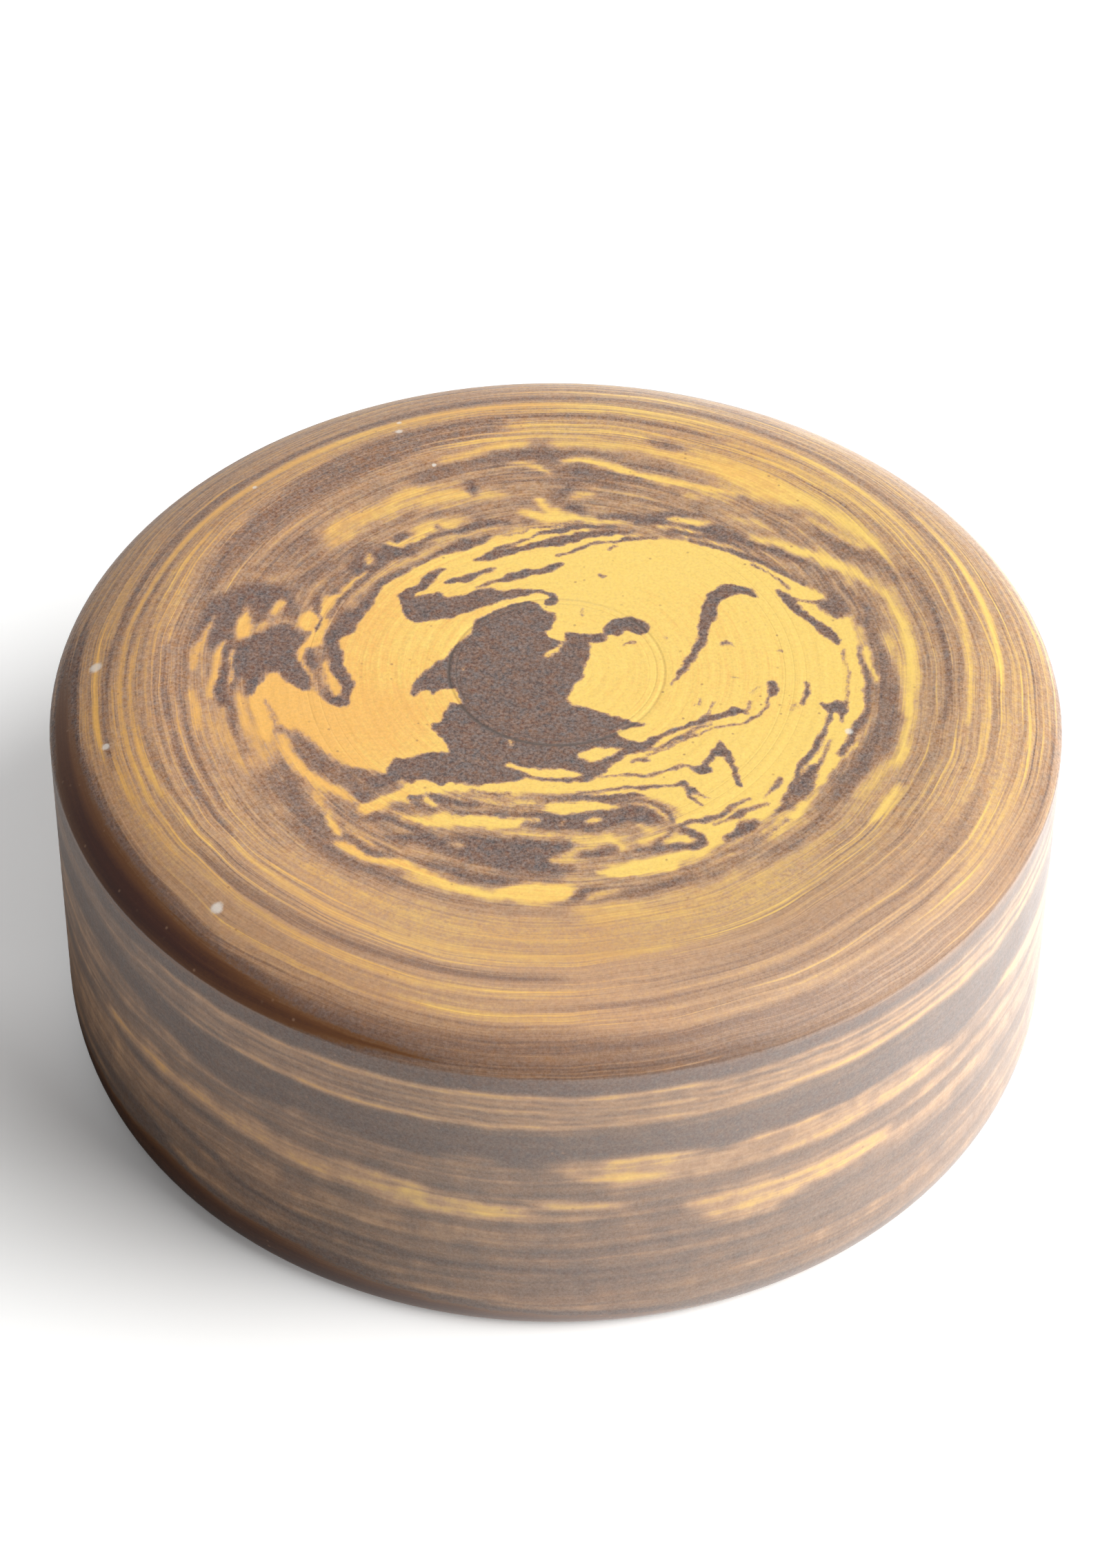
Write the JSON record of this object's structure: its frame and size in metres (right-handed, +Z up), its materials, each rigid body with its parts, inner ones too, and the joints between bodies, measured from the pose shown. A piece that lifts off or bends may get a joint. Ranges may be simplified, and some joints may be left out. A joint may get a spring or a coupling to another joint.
{
  "type": "lidded bowl",
  "caption": "Low round bowl of marbled two-colour stoneware under a deep flat-topped lid that slips down over the whole bowl.",
  "frame": {"origin": "centre of the bowl's foot, on the surface it stands on", "axes": "+Z up along the turning axis of both pieces; +X to the right and -Y towards the viewer in the picture"},
  "size_m": [0.2522, 0.2522, 0.101],
  "materials": {
    "lid_clay": "satin marbled ochre and brown clay, unglazed",
    "bowl_clay": "satin marbled ochre and brown clay, unglazed"
  },
  "bodies": {
    "bowl": {"bowl": "bowl_clay"},
    "lid": {"lid": "lid_clay"}
  },
  "joints": [
    {"name": "lid_lift", "type": "slide", "parent": "bowl", "child": "lid", "axis": [0, 0, 1], "range_m": [0, 0.18]}
  ]
}
